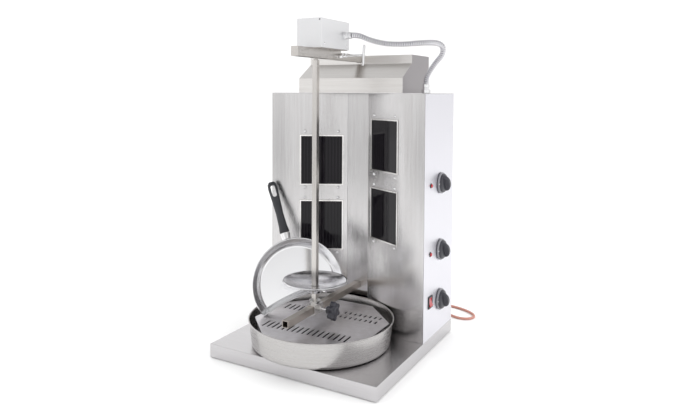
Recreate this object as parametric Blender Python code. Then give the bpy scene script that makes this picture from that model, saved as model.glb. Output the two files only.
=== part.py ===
"""Vertical electric kebab grill: plinth, heater cabinet, turning spit with its two carriages,
drip tray and catch pan. Lengths below are in millimetres; the helpers turn them into metres.
X is across (0 in the middle), Y is depth (0 at the plinth's front edge), Z is up from the table."""

import math

import bmesh
import bpy
from mathutils import Matrix, Vector

for old in list(bpy.data.objects):
    bpy.data.objects.remove(old, do_unlink=True)

MM = 0.001
GAP = 0.3  # clearance between pieces that touch
SHEET = 1.2  # cabinet sheet steel

# Plinth and cabinet
BASE_HALF, BASE_DEPTH, BASE_TOP = 220.0, 450.0, 34.0
FOOT_RISE = 2.0
CAB_FRONT, CAB_TOP = 253.0, 632.0
FOLD_X = 174.0  # where the front strip turns into the window panel
STRIP_X, STRIP_Y, STRIP_FOOT = 30.5, 332.0, 109.0  # recessed middle strip
HOOD_HALF, HOOD_FRONT, HOOD_BACK = 150.0, 277.0, 334.0
HOOD_BAND, HOOD_SHOULDER, HOOD_TOP = 670.0, 707.0, 729.0

# Windows, heaters and controls
PANE_W, PANE_H, BEZEL_W, BEZEL_H = 109.0, 127.0, 117.5, 136.0
WINDOW_ALONG = 94.0  # window centre, measured along the panel from its outer fold
LEFT_WINDOWS, RIGHT_WINDOWS = (453.0, 279.0), (499.0, 322.0)
KNOB_Y, KNOB_HEIGHTS, KNOB_R, KNOB_FACE = 359.0, (408.0, 240.5, 114.0), 26.5, 246.0
LAMP_Y, LAMP_HEIGHTS = 293.0, (408.5, 241.0)
SWITCH_Y, SWITCH_Z, SWITCH_W, SWITCH_H = 294.5, 124.0, 26.0, 30.0

# Spit and its drive
SPIT_Y, SPIT_SIDE, SPIT_TOP, SPIT_FOOT = 118.0, 12.0, 708.0, 147.0
SOCKET_Z = 718.0  # the bar can be lifted this far before its shoulder meets the socket
PLATE_R, PLATE_Z = 76.5, 192.0
ARM_TOP_Z, CHANNEL_TOP_Z = 731.0, 735.0
LOW_ARM_HALF, LOW_ARM_Z, LOW_ARM_FRONT = 8.0, (116.0, 132.0), -7.0
MOTOR_X, MOTOR_Y, MOTOR_TOP = (-32.0, 34.0), (86.0, 217.0), 802.0
CLAMP_Y, CLAMP_Z = 214.0, 722.5
STAR_Z, STAR_R = 125.0, 22.5

# Drip tray, its grid, and the catch pan
TRAY_Y, TRAY_R, TRAY_TOP, GRID_Z, GRID_INRADIUS = 147.0, 174.6, 97.0, 85.0, 151.0
PAN_CENTRE = Vector((-77.5, 163.5, 157.3))
PAN_AZIMUTH, PAN_LEAN, PAN_ROLL = math.radians(35.4), math.radians(19.0), math.radians(14.1)
PAN_R, PAN_FLOOR_R, PAN_DEPTH, PAN_CUT_R, PAN_SKEW = 112.0, 97.0, 34.0, 725.0, math.radians(5.5)

# Middle of the object's outline, which stands on the frame's origin
MIDDLE = Vector((13.0, 229.35, 0.0))

grill = bpy.data.objects.new("grill", None)
bpy.context.scene.collection.objects.link(grill)
grill.location = -MIDDLE * MM


def finish(name, colour, roughness, metallic=0.0):
    made = bpy.data.materials.new(name)
    made.use_nodes = True
    shader = made.node_tree.nodes["Principled BSDF"]
    shader.inputs["Base Color"].default_value = (*colour, 1.0)
    shader.inputs["Roughness"].default_value = roughness
    shader.inputs["Metallic"].default_value = metallic
    return made


STEEL = finish("brushed_stainless", (0.62, 0.61, 0.60), 0.32, 1.0)
COVER = finish("satin_cover", (0.78, 0.77, 0.80), 0.45, 1.0)
BRIGHT = finish("polished_aluminium", (0.86, 0.86, 0.87), 0.12, 1.0)
GLASS = finish("black_ceramic_glass", (0.012, 0.012, 0.014), 0.06)
CERAMIC = finish("heater_ceramic", (0.70, 0.64, 0.55), 0.8)
BLACK = finish("black_plastic", (0.025, 0.026, 0.03), 0.38)
CASTING = finish("motor_casting", (0.06, 0.06, 0.065), 0.5, 0.6)
RED = finish("red_lens", (0.55, 0.02, 0.03), 0.25)
RUBBER = finish("foot_rubber", (0.03, 0.03, 0.03), 0.8)
CORD = finish("silicone_cord", (0.62, 0.24, 0.17), 0.5)
CONDUIT = finish("conduit_steel", (0.68, 0.67, 0.66), 0.35, 1.0)


# Shape helpers. Each returns a bmesh in millimetres.
def box(low, high):
    bm = bmesh.new()
    bmesh.ops.create_cube(bm, size=1.0)
    size = Vector(high) - Vector(low)
    bmesh.ops.scale(bm, vec=size, verts=bm.verts)
    bmesh.ops.translate(bm, vec=(Vector(low) + Vector(high)) / 2, verts=bm.verts)
    return bm


def rod(start, end, radius, end_radius=None, sides=24):
    bm = bmesh.new()
    along = Vector(end) - Vector(start)
    bmesh.ops.create_cone(
        bm, cap_ends=True, segments=sides, radius1=radius,
        radius2=radius if end_radius is None else end_radius, depth=along.length,
    )
    turn = Vector((0, 0, 1)).rotation_difference(along).to_matrix().to_4x4()
    middle = Matrix.Translation((Vector(start) + Vector(end)) / 2)
    bmesh.ops.transform(bm, matrix=middle @ turn, verts=bm.verts)
    return bm


def prism(outline, low, high, axis="Z"):
    """A flat outline pushed along an axis. Z takes (x, y), X takes (y, z), Y takes (x, z)."""
    lift = {"Z": lambda a, b: (a, b, low), "X": lambda a, b: (low, a, b), "Y": lambda a, b: (a, low, b)}[axis]
    push = {"Z": (0, 0, 1), "X": (1, 0, 0), "Y": (0, 1, 0)}[axis]
    bm = bmesh.new()
    face = bm.faces.new([bm.verts.new(lift(a, b)) for a, b in outline])
    grown = bmesh.ops.extrude_face_region(bm, geom=[face])
    moved = [item for item in grown["geom"] if isinstance(item, bmesh.types.BMVert)]
    bmesh.ops.translate(bm, vec=Vector(push) * (high - low), verts=moved)
    return bm


def turned(profile, centre, sides=48, axis="Z", closed=False):
    """A profile of (radius, height) points spun about an axis through `centre`."""
    bm = bmesh.new()
    verts = [bm.verts.new((radius, 0.0, height)) for radius, height in profile]
    edges = [bm.edges.new(pair) for pair in zip(verts, verts[1:])]
    if closed:
        edges.append(bm.edges.new((verts[-1], verts[0])))
    bmesh.ops.spin(
        bm, geom=verts + edges, cent=(0, 0, 0), axis=(0, 0, 1), angle=math.tau, steps=sides, use_merge=True
    )
    bmesh.ops.remove_doubles(bm, verts=bm.verts, dist=0.001)
    if axis == "X":
        bmesh.ops.rotate(bm, matrix=Matrix.Rotation(math.radians(90), 3, "Y"), verts=bm.verts)
    if axis == "Y":
        bmesh.ops.rotate(bm, matrix=Matrix.Rotation(math.radians(-90), 3, "X"), verts=bm.verts)
    bmesh.ops.translate(bm, vec=centre, verts=bm.verts)
    return bm


def lofted(rings):
    """A closed skin over rings of the same number of points, capped at both ends."""
    bm = bmesh.new()
    made = [[bm.verts.new(point) for point in ring] for ring in rings]
    for low, high in zip(made, made[1:]):
        for i, corner in enumerate(low):
            j = (i + 1) % len(low)
            bm.faces.new((corner, low[j], high[j], high[i]))
    bm.faces.new(made[0])
    bm.faces.new(made[-1])
    return bm


def placed(bm, matrix):
    bmesh.ops.transform(bm, matrix=matrix, verts=bm.verts)
    return bm


def piece(name, bm, made_of, origin=(0, 0, 0)):
    """A named object from a bmesh, with its origin where its joint or its seat is."""
    bmesh.ops.recalc_face_normals(bm, faces=bm.faces)
    bmesh.ops.translate(bm, vec=-Vector(origin), verts=bm.verts)
    bmesh.ops.scale(bm, vec=(MM, MM, MM), verts=bm.verts)
    mesh = bpy.data.meshes.new(name)
    bm.to_mesh(mesh)
    bm.free()
    mesh.shade_smooth()
    mesh.set_sharp_from_angle(angle=math.radians(35))
    mesh.materials.append(made_of)
    made = bpy.data.objects.new(name, mesh)
    made.location = Vector(origin) * MM
    made.parent = grill
    bpy.context.scene.collection.objects.link(made)
    return made


def shape(target, operation, *tools):
    """Cut or join plain solids, which stay hidden beside the piece."""
    for bm in tools:
        tool = piece(f"{target.name}_{operation.lower()}", bm, target.data.materials[0])
        tool.hide_render = True
        tool.display_type = "WIRE"
        step = target.modifiers.new(operation.lower(), "BOOLEAN")
        step.operation = operation
        step.object = tool


def cut(target, *tools):
    shape(target, "DIFFERENCE", *tools)


def join(target, *tools):
    shape(target, "UNION", *tools)


def thicken(target, thickness, offset=-1.0):
    wall = target.modifiers.new("wall", "SOLIDIFY")
    wall.thickness = thickness * MM
    wall.offset = offset
    wall.use_even_offset = True


def several(parts):
    """One mesh of several plain solids that stay clear of each other, used as a single cutter."""
    whole = bmesh.new()
    for bm in parts:
        mesh = bpy.data.meshes.new("tool_part")
        bmesh.ops.recalc_face_normals(bm, faces=bm.faces)
        bm.to_mesh(mesh)
        bm.free()
        whole.from_mesh(mesh)
        bpy.data.meshes.remove(mesh)
    return whole


def smooth_route(points, steps, leaving, arriving):
    """Catmull-Rom curve through the points, starting and ending along the two directions."""
    inner = [Vector(point) for point in points]
    first = inner[1] - Vector(leaving) * 2 * (inner[1] - inner[0]).length
    last = inner[-2] + Vector(arriving) * 2 * (inner[-1] - inner[-2]).length
    spots = [first, *inner, last]
    found = []
    for a, b, c, d in zip(spots, spots[1:], spots[2:], spots[3:]):
        for k in range(steps):
            t = k / steps
            found.append(
                0.5 * ((2 * b) + (c - a) * t + (2 * a - 5 * b + 4 * c - d) * t * t
                       + (3 * b - a - 3 * c + d) * t ** 3)
            )
    return [*found, Vector(points[-1])]


def tube(name, points, radius, made_of, rings=3):
    curve = bpy.data.curves.new(name, "CURVE")
    curve.dimensions = "3D"
    curve.bevel_depth = radius * MM
    curve.bevel_resolution = rings
    curve.use_fill_caps = True
    line = curve.splines.new("POLY")
    line.points.add(len(points) - 1)
    for spot, point in zip(line.points, points):
        spot.co = (*(Vector(point) * MM), 1.0)
    curve.materials.append(made_of)
    made = bpy.data.objects.new(name, curve)
    made.parent = grill
    bpy.context.scene.collection.objects.link(made)
    return made


def plinth():
    """Folded sheet tray, open below, with a return flange that carries four rubber feet."""
    bm = box((-BASE_HALF, 0, FOOT_RISE), (BASE_HALF, BASE_DEPTH, BASE_TOP))
    under = [face for face in bm.faces if face.normal.z < -0.5]
    bmesh.ops.inset_region(bm, faces=under, thickness=22.0)
    bmesh.ops.delete(bm, geom=under, context="FACES")
    thicken(piece("plinth", bm, STEEL), 1.5)
    for i, (x, y) in enumerate(((-1, 0), (1, 0), (-1, 1), (1, 1))):
        spot = Vector((x * (BASE_HALF - 14), 14 + y * (BASE_DEPTH - 28), 0))
        rise = FOOT_RISE - GAP
        piece(f"foot_{i + 1}", turned(((0, 0), (10, 0), (11, rise), (0, rise)), spot, 24), RUBBER, spot)


def window_matrix(side, height):
    """Places a window drawn in its own plane (x along the panel, z up, -y outwards)."""
    start, stop = Vector((side * FOLD_X, CAB_FRONT, 0)), Vector((side * STRIP_X, STRIP_Y, 0))
    along = (stop - start).normalized()
    spot = start + along * WINDOW_ALONG + Vector((0, 0, height))
    across = along if side < 0 else -along
    outwards = Vector((across.y, -across.x, 0))
    turn = Matrix((across, -outwards, Vector((0, 0, 1)))).transposed().to_4x4()
    return Matrix.Translation(spot) @ turn


def windows():
    return [(side, height, name)
            for side, heights, name in ((-1, LEFT_WINDOWS, "left"), (1, RIGHT_WINDOWS, "right"))
            for height, name in zip(heights, (f"{name}_upper", f"{name}_lower"))]


def slab(width, height, near, far):
    return box((-width / 2, near, -height / 2), (width / 2, far, height / 2))


def front_sheet(name, side):
    """Front strip and angled window panel, folded from one sheet, with two window openings."""
    corners = [(side * (BASE_HALF - SHEET - GAP), CAB_FRONT), (side * FOLD_X, CAB_FRONT),
               (side * (STRIP_X + GAP), STRIP_Y)]
    bm = bmesh.new()
    low = [bm.verts.new((x, y, BASE_TOP + GAP)) for x, y in corners]
    high = [bm.verts.new((x, y, CAB_TOP - SHEET - GAP)) for x, y in corners]
    for i in range(2):
        bm.faces.new((low[i], low[i + 1], high[i + 1], high[i]))
    if side > 0:
        bmesh.ops.reverse_faces(bm, faces=bm.faces)
    sheet = open_sheet(name, bm, STEEL)
    thicken(sheet, SHEET)
    heights = LEFT_WINDOWS if side < 0 else RIGHT_WINDOWS
    cut(sheet, *(placed(slab(PANE_W, PANE_H, -20, 20), window_matrix(side, z)) for z in heights))


def open_sheet(name, bm, made_of):
    """Like `piece`, for a sheet whose faces already point out before it gets its thickness."""
    bmesh.ops.scale(bm, vec=(MM, MM, MM), verts=bm.verts)
    mesh = bpy.data.meshes.new(name)
    bm.to_mesh(mesh)
    bm.free()
    mesh.materials.append(made_of)
    made = bpy.data.objects.new(name, mesh)
    made.parent = grill
    bpy.context.scene.collection.objects.link(made)
    return made


def vent_slots(x_spots, y_low, y_high, heights, tall):
    return several([box((x - 22, y_low, z), (x + 22, y_high, z + tall)) for x in x_spots for z in heights])


def cabinet():
    """Loose sheet panels of the heater cabinet."""
    low, high = BASE_TOP + GAP, CAB_TOP - SHEET - GAP
    front_sheet("left_front_sheet", -1)
    front_sheet("right_front_sheet", 1)
    middle = piece("middle_strip", box((-STRIP_X, STRIP_Y, STRIP_FOOT), (STRIP_X, STRIP_Y + SHEET, high)), STEEL)
    cut(middle, box((-8.6, 320, 115.4), (8.6, 340, 132.6)))
    piece("left_side_panel", box((-BASE_HALF, CAB_FRONT, low), (-BASE_HALF + SHEET, BASE_DEPTH, high)), STEEL)
    right = piece("right_side_panel", box((BASE_HALF - SHEET, CAB_FRONT, low), (BASE_HALF, BASE_DEPTH, high)), COVER)
    holes = [rod((210, KNOB_Y, z), (230, KNOB_Y, z), 5.0, sides=16) for z in KNOB_HEIGHTS]
    holes += [rod((210, LAMP_Y, z), (230, LAMP_Y, z), 4.3, sides=16) for z in LAMP_HEIGHTS]
    holes.append(box((210, SWITCH_Y - 11.3, SWITCH_Z - 13.3), (230, SWITCH_Y + 11.3, SWITCH_Z + 13.3)))
    cut(right, several(holes))
    inner = BASE_HALF - SHEET - GAP
    rear = piece("rear_panel", box((-inner, BASE_DEPTH - SHEET, low), (inner, BASE_DEPTH, high)), STEEL)
    cut(rear, vent_slots((-120, -60, 0, 60, 120), 440, 460, [500 + 14 * i for i in range(6)], 5),
        rod((120, 440, 60), (120, 460, 60), 6.2, sides=24))
    outline = [(-BASE_HALF, CAB_FRONT), (-FOLD_X, CAB_FRONT), (-STRIP_X, STRIP_Y), (STRIP_X, STRIP_Y),
               (FOLD_X, CAB_FRONT), (BASE_HALF, CAB_FRONT), (BASE_HALF, BASE_DEPTH), (-BASE_HALF, BASE_DEPTH)]
    top = piece("top_panel", prism(outline, CAB_TOP - SHEET, CAB_TOP), STEEL)
    rows = [box((x - 40, y, 620), (x + 40, y + 6, 640)) for x in (-95, 95) for y in (365, 385, 405, 425)]
    cut(top, several(rows), rod((190, 330, 620), (190, 330, 640), 8.4, sides=20))


def hood():
    """Open-topped heat deflector folded from one sheet, notched for the upper arm."""
    side = [(HOOD_FRONT, CAB_TOP + GAP), (HOOD_FRONT, HOOD_BAND), (HOOD_BACK, HOOD_SHOULDER),
            (HOOD_BACK, HOOD_TOP), (BASE_DEPTH - 1, HOOD_TOP), (BASE_DEPTH - 1, CAB_TOP + GAP)]
    bm = bmesh.new()
    left = [bm.verts.new((-HOOD_HALF, y, z)) for y, z in side]
    right = [bm.verts.new((HOOD_HALF, y, z)) for y, z in side]
    bm.faces.new(left)
    bm.faces.new(reversed(right))
    for i in (0, 1, 2, 4):
        bm.faces.new((left[i + 1], left[i], right[i], right[i + 1]))
    bmesh.ops.recalc_face_normals(bm, faces=bm.faces)
    for face in bm.faces:
        wrong = face.calc_center_median().y < 340 and abs(face.normal.x) < 0.5 and face.normal.y > 0
        if wrong:
            bmesh.ops.reverse_faces(bm, faces=bm.faces)
            break
    sheet = open_sheet("hood", bm, STEEL)
    thicken(sheet, SHEET)
    cut(sheet, box((-7.6, HOOD_BACK - 10, 711.2), (7.6, HOOD_BACK + 10, HOOD_TOP + 10)))


def window_sets():
    """Behind each opening: black glass and a radiant heater; in front of it a bright bezel."""
    for side, height, name in windows():
        where = window_matrix(side, height)
        bezel = piece(f"bezel_{name}", placed(slab(BEZEL_W, BEZEL_H, -2.0, -GAP), where), STEEL)
        cut(bezel, placed(slab(PANE_W, PANE_H, -20, 20), where))
        near = SHEET + GAP
        piece(f"glass_{name}", placed(slab(PANE_W + 8, PANE_H + 8, near, near + 4), where), GLASS)
        heater = piece(f"heater_{name}", placed(slab(PANE_W + 4, PANE_H + 4, near + 10, near + 34), where), CERAMIC)
        hollow = slab(PANE_W - 4, PANE_H - 4, near + 5, near + 24)
        cut(heater, placed(hollow, where))
        bars = [slab(PANE_W + 2, 5, near + 16, near + 22) for _ in range(6)]
        for i, bar in enumerate(bars):
            bmesh.ops.translate(bar, vec=(0, 0, (i - 2.5) * 18), verts=bar.verts)
        join(heater, placed(several(bars), where))


def controls():
    """Three energy regulators with knobs, two pilot lamps and the mains rocker on the right side."""
    inside, outside = BASE_HALF - SHEET - GAP, BASE_HALF + GAP
    for i, z in enumerate(KNOB_HEIGHTS):
        body = piece(f"regulator_{i + 1}", box((inside - 34, KNOB_Y - 18, z - 15), (inside, KNOB_Y + 18, z + 15)), BLACK)
        cut(body, rod((inside - 12, KNOB_Y, z), (inside + 2, KNOB_Y, z), 3.3, sides=16))
        spot = (outside, KNOB_Y, z)
        deep = KNOB_FACE - outside
        profile = ((0, 1.0), (KNOB_R - 3, 1.0), (KNOB_R, 2.2), (KNOB_R - 0.6, 5), (KNOB_R - 2.6, 8),
                   (KNOB_R - 4.2, deep - 7), (KNOB_R - 7, deep - 4.6), (0, deep - 4.6))
        knob = piece(f"knob_{i + 1}", turned(profile, spot, 32, "X"), BLACK, spot)
        grip = box((-KNOB_R + 6, -5.5, deep - 10), (KNOB_R - 6, 5.5, deep))
        tilt = Matrix.Rotation(math.radians(90), 4, "Y") @ Matrix.Rotation(math.radians(28), 4, "Z")
        shaft = rod((inside - 11, KNOB_Y, z), (outside + 3, KNOB_Y, z), 3.0, sides=12)
        join(knob, placed(grip, Matrix.Translation(spot) @ tilt), shaft)
    for i, z in enumerate(LAMP_HEIGHTS):
        spot = (outside, LAMP_Y, z)
        lamp = piece(f"lamp_{i + 1}", turned(((0, 0), (6, 0), (6, 1), (4.6, 2.6), (2.5, 3.8), (0, 4.2)), spot, 20, "X"), RED)
        join(lamp, rod((inside - 16, LAMP_Y, z), (outside + 1, LAMP_Y, z), 4.0, sides=16))
    y, z, w, h = SWITCH_Y, SWITCH_Z, SWITCH_W / 2, SWITCH_H / 2
    housing = piece("switch_housing", box((outside, y - w, z - h), (outside + 2.2, y + w, z + h)), BLACK)
    join(housing, box((inside - 20, y - 11, z - 13), (outside + 1, y + 11, z + 13)))
    cut(housing, box((inside - 4, y - 9.3, z - 11.3), (outside + 6, y + 9.3, z + 11.3)))
    pivot = Vector((outside - 1.2, y, z))
    face = [(-2.2, -10.2), (4.6, -10.4), (2.6, 0), (4.6, 10.4), (-2.2, 10.2)]
    rocker = prism([(a, b) for a, b in face], -8.8, 8.8, "Y")
    tip = Matrix.Translation(pivot) @ Matrix.Rotation(math.radians(-9), 4, "Y")
    piece("switch_rocker", placed(rocker, tip), RED, pivot)
    block = piece("terminal_block", box((90, 400, 120), (150, 425, 142)), CERAMIC)
    cut(block, several([rod((100 + 20 * i, 412, 130), (100 + 20 * i, 412, 150), 4, sides=12) for i in range(3)]))


def upper_arm():
    """Fixed arm: a post inside the hood with a square beam that the motor channel slides on."""
    beam = piece("upper_arm", box((-7, 172, 712), (7, 372, ARM_TOP_Z)), STEEL)
    join(beam, box((-15, 350, CAB_TOP + GAP), (15, 380, 725)))


def upper_carriage():
    """Sliding channel with the geared motor, its cover, and the drive socket that turns the spit."""
    half, low = 9.5, 713.0
    channel = piece("upper_channel", box((-half, 28, low), (half, 220, CHANNEL_TOP_Z)), STEEL)
    cut(channel, box((-7.4, 31, low - 5), (7.4, 225, ARM_TOP_Z + 0.5)),
        rod((0, SPIT_Y, 725), (0, SPIT_Y, 745), 8.6, sides=24),
        rod((5, CLAMP_Y, CLAMP_Z), (15, CLAMP_Y, CLAMP_Z), 3.3, sides=16))
    join(channel, box((-29, 90, CHANNEL_TOP_Z - 1), (31, 213, CHANNEL_TOP_Z + 2.5)))
    cut(channel, rod((0, SPIT_Y, 725), (0, SPIT_Y, 745), 8.6, sides=24))
    floor = CHANNEL_TOP_Z + 2.5 + GAP
    motor = piece("gear_motor", box((-24, 96, floor), (24, 150, floor + 32)), CASTING)
    join(motor, rod((0, 149, floor + 20), (0, 205, floor + 20), 19, sides=28))
    cut(motor, rod((0, SPIT_Y, floor - 5), (0, SPIT_Y, floor + 12), 6.4, sides=20))
    cover = piece("motor_cover", box((MOTOR_X[0], MOTOR_Y[0], CHANNEL_TOP_Z + GAP), (MOTOR_X[1], MOTOR_Y[1], MOTOR_TOP)), COVER)
    cut(cover, box((MOTOR_X[0] + SHEET, MOTOR_Y[0] + SHEET, 700), (MOTOR_X[1] - SHEET, MOTOR_Y[1] - SHEET, MOTOR_TOP - SHEET)),
        rod((MOTOR_X[1] - 5, 190, 769), (MOTOR_X[1] + 5, 190, 769), 7.4, sides=20))
    spot = (0, SPIT_Y, SOCKET_Z)
    neck = floor - SOCKET_Z
    profile = ((0, 0), (6.6, 0), (7.2, 0.8), (7.2, neck - 1), (5.8, neck - 0.4), (5.8, neck + 10), (0, neck + 10))
    socket = piece("drive_socket", turned(profile, spot, 28), STEEL, spot)
    cut(socket, box((-3.4, SPIT_Y - 10, 700), (3.4, SPIT_Y + 10, 734)))
    nut = piece("clamp_screw", rod((7.6, CLAMP_Y, CLAMP_Z), (76, CLAMP_Y, CLAMP_Z), 2.9, sides=16), STEEL, (9.5, CLAMP_Y, CLAMP_Z))
    join(nut, rod((half + GAP, CLAMP_Y, CLAMP_Z), (half + 9, CLAMP_Y, CLAMP_Z), 6.5, sides=6),
         rod((25, CLAMP_Y, CLAMP_Z), (28, CLAMP_Y, CLAMP_Z), 5.5, sides=16))
    bar = placed(box((73, -3.5, -25.5), (78, 3.5, 25.5)),
                 Matrix.Translation((0, CLAMP_Y, CLAMP_Z)) @ Matrix.Rotation(math.radians(-8), 4, "X"))
    join(nut, bar)


def lower_arm():
    """Open square tube from the cabinet, welded to a plate behind the middle strip."""
    low, high = LOW_ARM_Z
    half = LOW_ARM_HALF
    arm = piece("lower_arm", box((-half, LOW_ARM_FRONT, low), (half, 352, high)), STEEL)
    join(arm, box((-28, 345, 92), (28, 349, 190)))
    cut(arm, box((-half + 1.5, LOW_ARM_FRONT - 5, low + 1.5), (half - 1.5, 356, high - 1.5)))


def lower_carriage():
    """Saddle on the lower arm with the spit's bottom bearing, locked by a star knob."""
    low, high = LOW_ARM_Z
    saddle = piece("lower_carriage", box((-11, 98, low - 3.5), (11, 138, high + 3)), STEEL)
    top = high + 2.5
    join(saddle, turned(((0, top), (11, top), (11, top + 5), (14.5, top + 6), (14.5, top + 8.5), (0, top + 8.5)), (0, SPIT_Y, 0), 28))
    cut(saddle, box((-8.3, 90, low - 0.3), (8.3, 146, high + 0.3)),
        rod((0, SPIT_Y, high - 2), (0, SPIT_Y, high + 30), 4.3, sides=20),
        rod((5, SPIT_Y, STAR_Z), (15, SPIT_Y, STAR_Z), 3.3, sides=16))
    join(saddle, rod((10, SPIT_Y, STAR_Z), (19, SPIT_Y, STAR_Z), 6.5, sides=6))
    cut(saddle, rod((8, SPIT_Y, STAR_Z), (25, SPIT_Y, STAR_Z), 3.3, sides=16))
    outline = []
    for i in range(60):
        angle = math.tau * i / 60
        radius = STAR_R - 3.4 * (0.5 - 0.5 * math.cos(6 * angle))
        outline.append((SPIT_Y + radius * math.cos(angle), STAR_Z + radius * math.sin(angle)))
    spot = (43, SPIT_Y, STAR_Z)
    star = piece("star_knob", prism(outline, 43, 57, "X"), BLACK, spot)
    join(star, rod((34, SPIT_Y, STAR_Z), (44, SPIT_Y, STAR_Z), 9, 11, sides=20),
         rod((56, SPIT_Y, STAR_Z), (59.5, SPIT_Y, STAR_Z), 12, 10.5, sides=20),
         rod((8.7, SPIT_Y, STAR_Z), (45, SPIT_Y, STAR_Z), 2.9, sides=12))


def spit():
    """Square bar with a tongue on top and a round pin below, and the dished meat plate on it."""
    half = SPIT_SIDE / 2
    spot = (0, SPIT_Y, SPIT_FOOT)
    bar = piece("spit_bar", box((-half, SPIT_Y - half, SPIT_FOOT), (half, SPIT_Y + half, SPIT_TOP)), STEEL, spot)
    join(bar, rod((0, SPIT_Y, 134.5), (0, SPIT_Y, SPIT_FOOT + 1), 4.0, sides=20),
         box((-3, SPIT_Y - 5.5, SPIT_TOP - 1), (3, SPIT_Y + 5.5, 724)))
    rim = PLATE_Z
    profile = [(0, rim - 15), (20, rim - 14.5), (45, rim - 11), (64, rim - 5), (72, rim - 1.6), (74, rim),
               (76, rim - 0.4), (PLATE_R, rim - 2), (75.5, rim - 4), (73.5, rim - 4.2), (65, rim - 7.2),
               (46, rim - 13), (21, rim - 16.5), (17, rim - 17), (17, rim - 30), (0, rim - 30)]
    plate = piece("spit_plate", turned(profile, (0, SPIT_Y, 0), 56), BRIGHT, (0, SPIT_Y, rim))
    hole = half + GAP
    cut(plate, box((-hole, SPIT_Y - hole, 150), (hole, SPIT_Y + hole, 200)),
        rod((14, SPIT_Y, rim - 24), (22, SPIT_Y, rim - 24), 2.6, sides=12))
    screw = rod((15, SPIT_Y, rim - 24), (26, SPIT_Y, rim - 24), 2.2, sides=12)
    head = piece("plate_screw", screw, BRIGHT, (15, SPIT_Y, rim - 24))
    join(head, rod((24, SPIT_Y, rim - 24), (30, SPIT_Y, rim - 24), 5.0, sides=16))


def conduit():
    """Flexible metal conduit from the motor cover down to the cabinet top, with its two fittings."""
    face = MOTOR_X[1] + GAP
    upper = piece("conduit_fitting_motor", rod((face, 190, 769), (face + 8, 190, 769), 10, sides=6), STEEL)
    join(upper, rod((face - 10, 190, 769), (face + 2, 190, 769), 7.0, sides=20),
         rod((face + 7, 190, 769), (face + 22, 190, 769), 8.2, sides=20))
    lower = piece("conduit_fitting_base", rod((190, 330, CAB_TOP + GAP), (190, 330, CAB_TOP + 9), 11.5, sides=6), STEEL)
    join(lower, rod((190, 330, CAB_TOP - 12), (190, 330, CAB_TOP + 2), 8.0, sides=20),
         rod((190, 330, CAB_TOP + 8), (190, 330, CAB_TOP + 23), 8.6, sides=20))
    route = [(face + 22.4, 190, 769), (78, 191, 766.5), (102, 199, 756.5), (134, 211, 748.5), (165, 229, 747),
             (191, 249, 749.5), (214, 272, 752), (231, 296, 751.5), (238.5, 312, 743), (233, 322, 725),
             (215, 327, 706), (199, 329.5, 685), (190.8, 330, 668), (190, 330, CAB_TOP + 23.4)]
    tube("conduit", smooth_route(route, 5, (1, 0, 0), (0, 0, -1)), 7.0, CONDUIT)


def power_cord():
    """Mains lead: gland on the rear panel, loose run on the table, coil, and plug."""
    wall = BASE_DEPTH + GAP
    gland = piece("cord_gland", rod((120, wall, 60), (120, wall + 7, 60), 12, sides=6), BLACK)
    join(gland, rod((120, wall - 14, 60), (120, wall + 1, 60), 5.9, sides=20),
         rod((120, wall + 6, 60), (120, wall + 14, 60), 9.5, 8, sides=20),
         rod((120, wall + 13, 60), (120, wall + 36, 60), 6.5, 4.6, sides=20))
    route = [(120, wall + 36.4, 60), (120, 501, 57.5), (121, 517, 49), (125, 534, 33), (132, 548, 17),
             (145, 559, 6.2), (162, 563, 3.6), (180, 558, 3.6), (197, 550.5, 3.6), (213, 547.5, 3.6),
             (228, 551, 3.6), (239, 561, 3.6), (243, 576, 3.6), (238, 591, 3.6), (226, 604, 3.6),
             (209, 615, 3.6), (187, 624, 3.6), (162, 630.5, 3.6), (135, 634.5, 3.6), (104, 635.4, 3.6),
             (74, 634.3, 3.6)]
    tube("power_cord", smooth_route(route, 3, (0, 1, 0), (-1, 0, 0)), 3.25, CORD, 2)
    section = [(34.4, 0.3), (43.8, 0.3), (45.6, 2), (45.6, 18), (43.8, 19.9), (34.4, 19.9), (32.5, 18), (32.5, 2)]
    piece("cord_coil", turned(section, (70, 585, 0), 40, closed=True), CORD, (70, 585, 0))
    tip = Vector((43.6, 627, 10.4))
    lie = Matrix.Translation(tip) @ Matrix.Rotation(math.radians(9.6), 4, "Y")
    body = [(0, 0), (4.6, 0), (6.2, 22), (10, 30), (15, 42), (18.6, 52), (18.6, 64), (17.5, 66), (0, 66)]
    plug = piece("power_plug", placed(turned([(r, -x) for r, x in body], (0, 0, 0), 28, "X"), lie), BLACK)
    pins = several([placed(rod((-85, 0, z), (-64, 0, z), 2.4, sides=12), lie) for z in (-9.5, 9.5)])
    join(plug, pins)


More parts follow.
